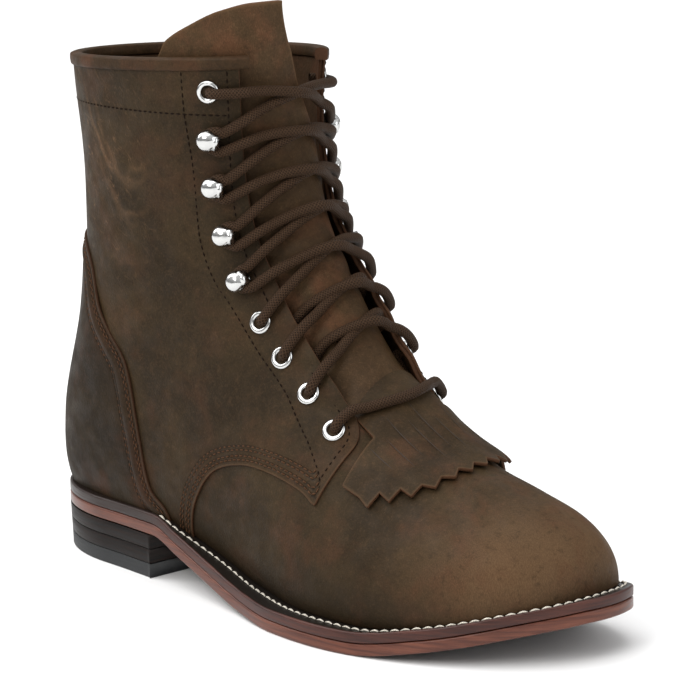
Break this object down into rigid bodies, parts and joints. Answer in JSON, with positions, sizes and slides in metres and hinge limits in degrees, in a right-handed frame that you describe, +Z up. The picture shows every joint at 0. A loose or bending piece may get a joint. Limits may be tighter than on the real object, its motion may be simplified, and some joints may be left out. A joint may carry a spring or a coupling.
{
  "type": "lace-up roper boot",
  "caption": "Ankle-high leather work boot with a low stacked heel, stitched welt, laced front with eyelets and hooks, a pinked flap and a tall tongue.",
  "frame": {"origin": "middle of the heel's underside, on the floor", "axes": "+X towards the toe, +Y towards the inner side of the foot, +Z up"},
  "size_m": [0.302, 0.1065, 0.2468],
  "materials": {
    "upper": "oiled pull-up, dark brown",
    "trim": "oiled, warmer brown",
    "insole": "matt",
    "sole": "burnished red-brown edge",
    "welt": "near black, satin",
    "heel": "stained black, polished",
    "rubber": "satin",
    "metal": "polished nickel",
    "lace": "round braid"
  },
  "bodies": {
    "root": {"outsole": "sole", "welt": "welt", "insole": "insole", "heel_cap": "rubber", "heel_lift_low": "heel", "heel_lift_high": "heel", "upper": "upper", "counter": "upper", "collar_binding": "trim", "tongue": "upper", "kiltie": "trim", "eyelet_lateral_1": "metal", "eyelet_medial_1": "metal", "hook_lateral_2": "metal", "hook_medial_2": "metal", "hook_lateral_3": "metal", "hook_medial_3": "metal", "hook_lateral_4": "metal", "hook_medial_4": "metal", "hook_lateral_5": "metal", "hook_medial_5": "metal", "eyelet_lateral_6": "metal", "eyelet_medial_6": "metal", "eyelet_lateral_7": "metal", "eyelet_medial_7": "metal", "eyelet_lateral_8": "metal", "eyelet_medial_8": "metal", "eyelet_lateral_9": "metal", "eyelet_medial_9": "metal", "lace_cross_1": "lace", "lace_cross_2": "lace", "lace_cross_3": "lace", "lace_cross_4": "lace", "lace_cross_5": "lace", "lace_cross_6": "lace", "lace_cross_7": "lace", "lace_bar": "lace"}
  },
  "joints": []
}
